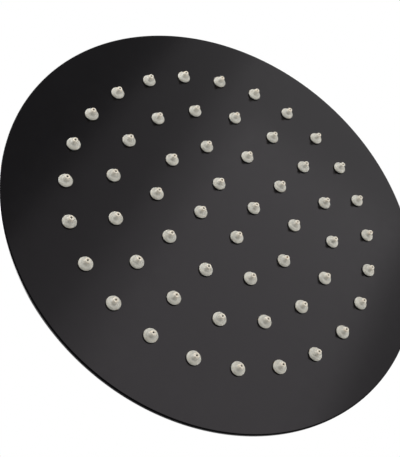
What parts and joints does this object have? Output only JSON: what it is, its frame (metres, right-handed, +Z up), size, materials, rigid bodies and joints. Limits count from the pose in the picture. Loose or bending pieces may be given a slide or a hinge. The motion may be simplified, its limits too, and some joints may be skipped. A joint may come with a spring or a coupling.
{
  "type": "shower head",
  "caption": "Round flat rain shower head with rings of silicone nozzles, a shallow domed back, a ball joint and a hexagon nut that screws onto a shower arm.",
  "frame": {"origin": "on the axis of the inlet thread, where it starts just inside the nut's mouth", "axes": "+Z up along the inlet thread, out of its mouth; the spray face is level and looks down; +X runs along the spoke that has a nozzle of every ring"},
  "size_m": [0.2, 0.2, 0.0578],
  "materials": {
    "black_steel": "matte black coating on pressed stainless sheet",
    "black_brass": "matte black coating on turned brass",
    "plated_brass": "polished chrome plate on turned brass",
    "silicone": "pale grey moulded silicone",
    "black_rubber": "black moulded rubber",
    "acetal": "white moulded acetal",
    "steel_mesh": "fine stainless wire cloth"
  },
  "bodies": {
    "inlet": {"inlet_nut": "black_brass"},
    "stem": {"inlet_stem": "plated_brass", "swivel_ball": "plated_brass", "inlet_washer": "black_rubber", "inlet_screen": "steel_mesh", "flow_regulator": "acetal", "regulator_ring": "black_rubber"},
    "rings": {"thrust_ring": "acetal", "ball_seal": "black_rubber"},
    "head": {"face_plate": "black_steel", "back_plate": "black_steel", "hub_boss": "black_brass", "lock_nut": "black_brass", "nozzle_ring_1": "silicone", "nozzle_ring_2": "silicone", "nozzle_ring_3": "silicone", "nozzle_ring_4": "silicone"}
  },
  "joints": [
    {"name": "nut_turn", "type": "hinge", "parent": "inlet", "child": "stem", "pos_m": [0, 0, 0], "axis": [0, 0, 1], "continuous": true},
    {"name": "head_tilt", "type": "hinge", "parent": "stem", "child": "rings", "pos_m": [0, 0, -0.03226], "axis": [1, 0, 0], "range_deg": [-15, 15]},
    {"name": "head_turn", "type": "hinge", "parent": "rings", "child": "head", "pos_m": [0, 0, -0.03226], "axis": [0, 0, 1], "continuous": true}
  ]
}
